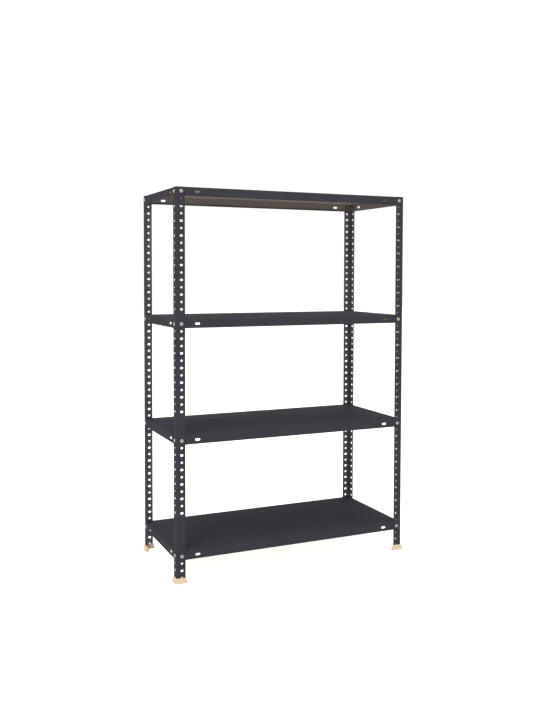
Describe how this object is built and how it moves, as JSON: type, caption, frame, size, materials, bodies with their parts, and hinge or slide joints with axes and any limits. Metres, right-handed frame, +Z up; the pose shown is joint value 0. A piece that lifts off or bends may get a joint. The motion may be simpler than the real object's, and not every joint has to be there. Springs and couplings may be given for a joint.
{
  "type": "bolted steel shelving unit",
  "caption": "Free-standing steel shelving: tray shelves screwed between perforated angle uprights that stand on plastic feet.",
  "frame": {"origin": "on the floor, under the middle of the rack", "axes": "+Z up; +X to the right along the width, seen from the front; -Y towards the front"},
  "size_m": [0.9182, 0.4182, 1.3578],
  "materials": {
    "painted_steel": "dark grey powder coat, satin, light orange peel",
    "zinc_plated_steel": "yellowish zinc plate, semi-bright",
    "beige_plastic": "moulded beige plastic, matte"
  },
  "bodies": {
    "root": {"upright_front_left": "painted_steel", "foot_front_left": "beige_plastic", "upright_front_right": "painted_steel", "foot_front_right": "beige_plastic", "upright_back_left": "painted_steel", "foot_back_left": "beige_plastic", "upright_back_right": "painted_steel", "foot_back_right": "beige_plastic", "shelf_top": "painted_steel", "screw_nut_top_front_left_face": "zinc_plated_steel", "screw_nut_top_front_left_side": "zinc_plated_steel", "screw_nut_top_front_right_face": "zinc_plated_steel", "screw_nut_top_front_right_side": "zinc_plated_steel", "screw_nut_top_back_left_face": "zinc_plated_steel", "screw_nut_top_back_left_side": "zinc_plated_steel", "screw_nut_top_back_right_face": "zinc_plated_steel", "screw_nut_top_back_right_side": "zinc_plated_steel", "shelf_upper": "painted_steel", "screw_nut_upper_front_left_face": "zinc_plated_steel", "screw_nut_upper_front_left_side": "zinc_plated_steel", "screw_nut_upper_front_right_face": "zinc_plated_steel", "screw_nut_upper_front_right_side": "zinc_plated_steel", "screw_nut_upper_back_left_face": "zinc_plated_steel", "screw_nut_upper_back_left_side": "zinc_plated_steel", "screw_nut_upper_back_right_face": "zinc_plated_steel", "screw_nut_upper_back_right_side": "zinc_plated_steel", "shelf_lower": "painted_steel", "screw_nut_lower_front_left_face": "zinc_plated_steel", "screw_nut_lower_front_left_side": "zinc_plated_steel", "screw_nut_lower_front_right_face": "zinc_plated_steel", "screw_nut_lower_front_right_side": "zinc_plated_steel", "screw_nut_lower_back_left_face": "zinc_plated_steel", "screw_nut_lower_back_left_side": "zinc_plated_steel", "screw_nut_lower_back_right_face": "zinc_plated_steel", "screw_nut_lower_back_right_side": "zinc_plated_steel", "shelf_bottom": "painted_steel", "screw_nut_bottom_front_left_face": "zinc_plated_steel", "screw_nut_bottom_front_left_side": "zinc_plated_steel", "screw_nut_bottom_front_right_face": "zinc_plated_steel", "screw_nut_bottom_front_right_side": "zinc_plated_steel", "screw_nut_bottom_back_left_face": "zinc_plated_steel", "screw_nut_bottom_back_left_side": "zinc_plated_steel", "screw_nut_bottom_back_right_face": "zinc_plated_steel", "screw_nut_bottom_back_right_side": "zinc_plated_steel"}
  },
  "joints": []
}
